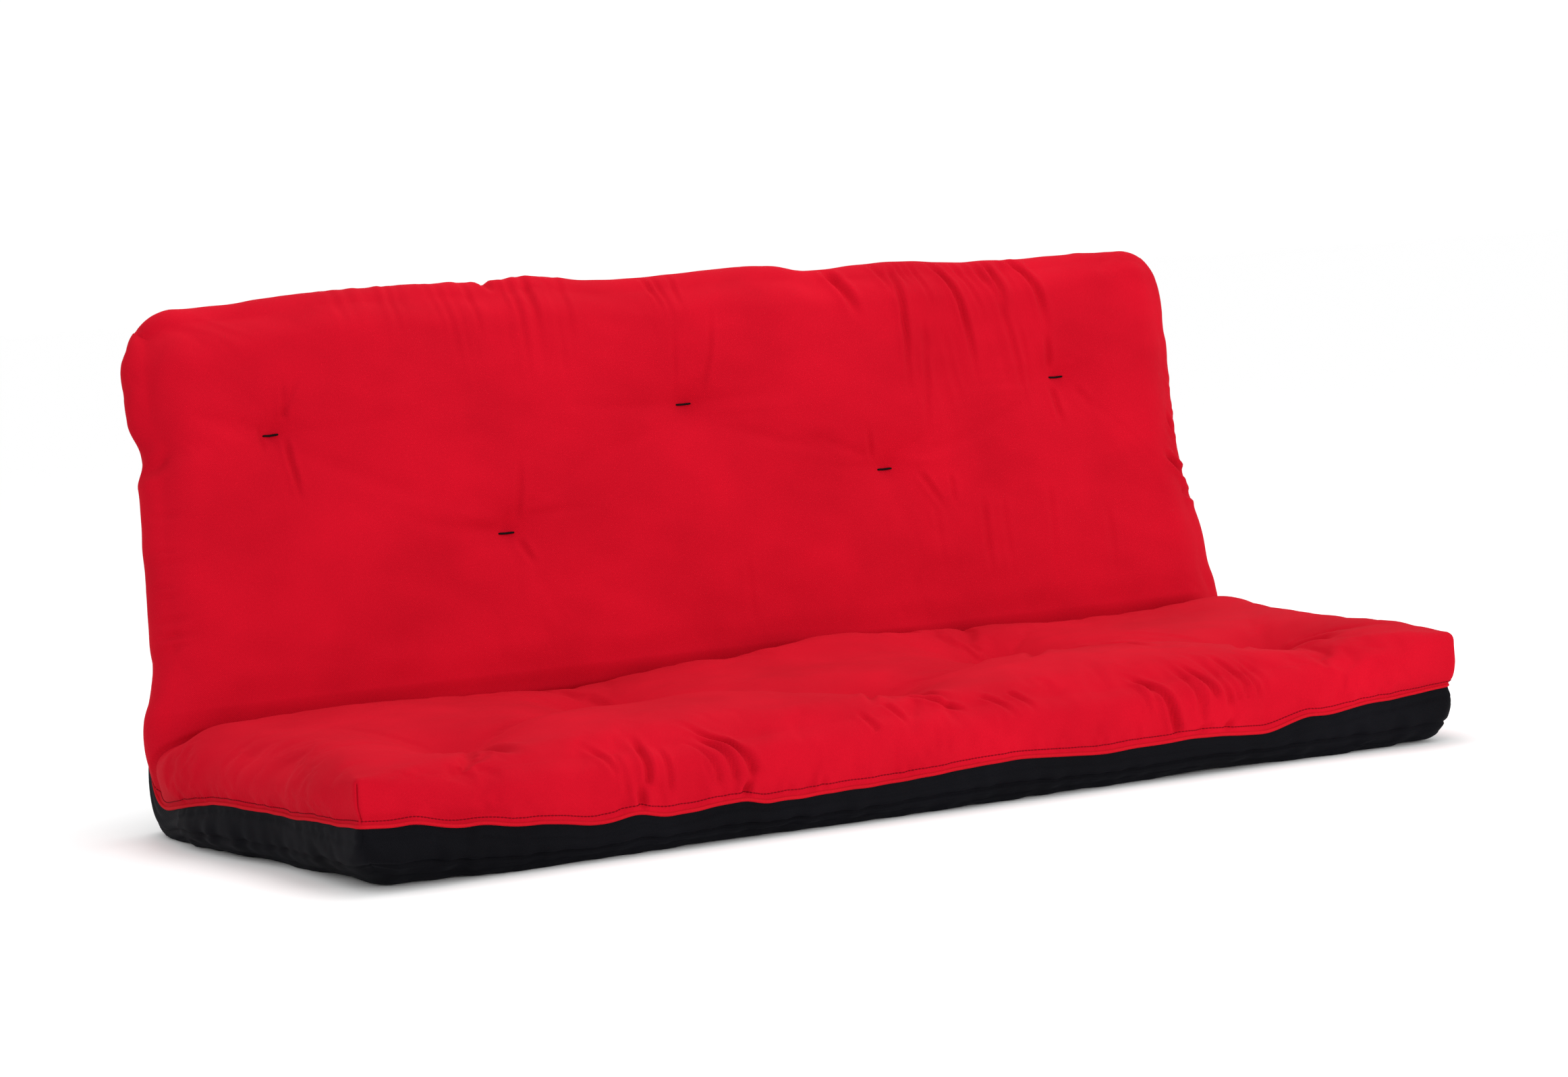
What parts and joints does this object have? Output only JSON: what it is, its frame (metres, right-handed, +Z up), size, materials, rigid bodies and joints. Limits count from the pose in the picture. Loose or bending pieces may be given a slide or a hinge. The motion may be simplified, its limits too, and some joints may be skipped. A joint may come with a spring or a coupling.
{
  "type": "futon mattress",
  "caption": "Full-size tufted futon mattress folded into a seat and a leaning back, red cover above a welt and black cover below, opening flat into a bed.",
  "frame": {"origin": "centre of the flat underside of the seat half, where it rests", "axes": "+X along the fold to the sitter's left as they sit, -Y towards the front edge, +Z up"},
  "size_m": [1.905, 0.9742, 0.7956],
  "materials": {
    "red_cover": "woven red twill with a soft brushed face",
    "welt_fabric": "orange-red bias-cut cotton over a cord",
    "welt_cord": "twisted cotton cord",
    "red_thread": "dark red sewing thread",
    "black_cover": "woven black twill with a faint navy cast",
    "batting": "matted cotton and polyester felt",
    "foam": "open-cell polyurethane foam",
    "tuft_twine": "waxed black twine"
  },
  "bodies": {
    "seat": {"seat_top_cover": "red_cover", "seat_welt": "welt_fabric", "seat_welt_cord": "welt_cord", "seat_cover_stitching": "red_thread", "seat_bottom_border": "black_cover", "seat_bottom_panel": "black_cover", "seat_top_batting": "batting", "seat_foam_core": "foam", "seat_bottom_batting": "batting", "seat_tufts": "tuft_twine", "fold_end_gussets": "red_cover", "fold_welt": "welt_fabric", "fold_welt_cord": "welt_cord", "fold_cover_stitching": "red_thread", "fold_bottom_border": "black_cover", "fold_bottom_panel": "black_cover", "fold_top_batting": "batting", "fold_foam_core": "foam", "fold_bottom_batting": "batting"},
    "back": {"back_top_cover": "red_cover", "back_welt": "welt_fabric", "back_welt_cord": "welt_cord", "back_cover_stitching": "red_thread", "back_bottom_border": "black_cover", "back_bottom_panel": "black_cover", "back_top_batting": "batting", "back_foam_core": "foam", "back_bottom_batting": "batting", "back_tufts": "tuft_twine"}
  },
  "joints": [
    {"name": "fold", "type": "hinge", "parent": "seat", "child": "back", "pos_m": [0, 0.3275, 0.172], "axis": [-1, 0, 0], "range_deg": [-95, 76.5], "deforming": ["fold_end_gussets", "fold_welt", "fold_welt_cord", "fold_cover_stitching", "fold_bottom_border", "fold_bottom_panel", "fold_top_batting", "fold_foam_core", "fold_bottom_batting"]}
  ]
}
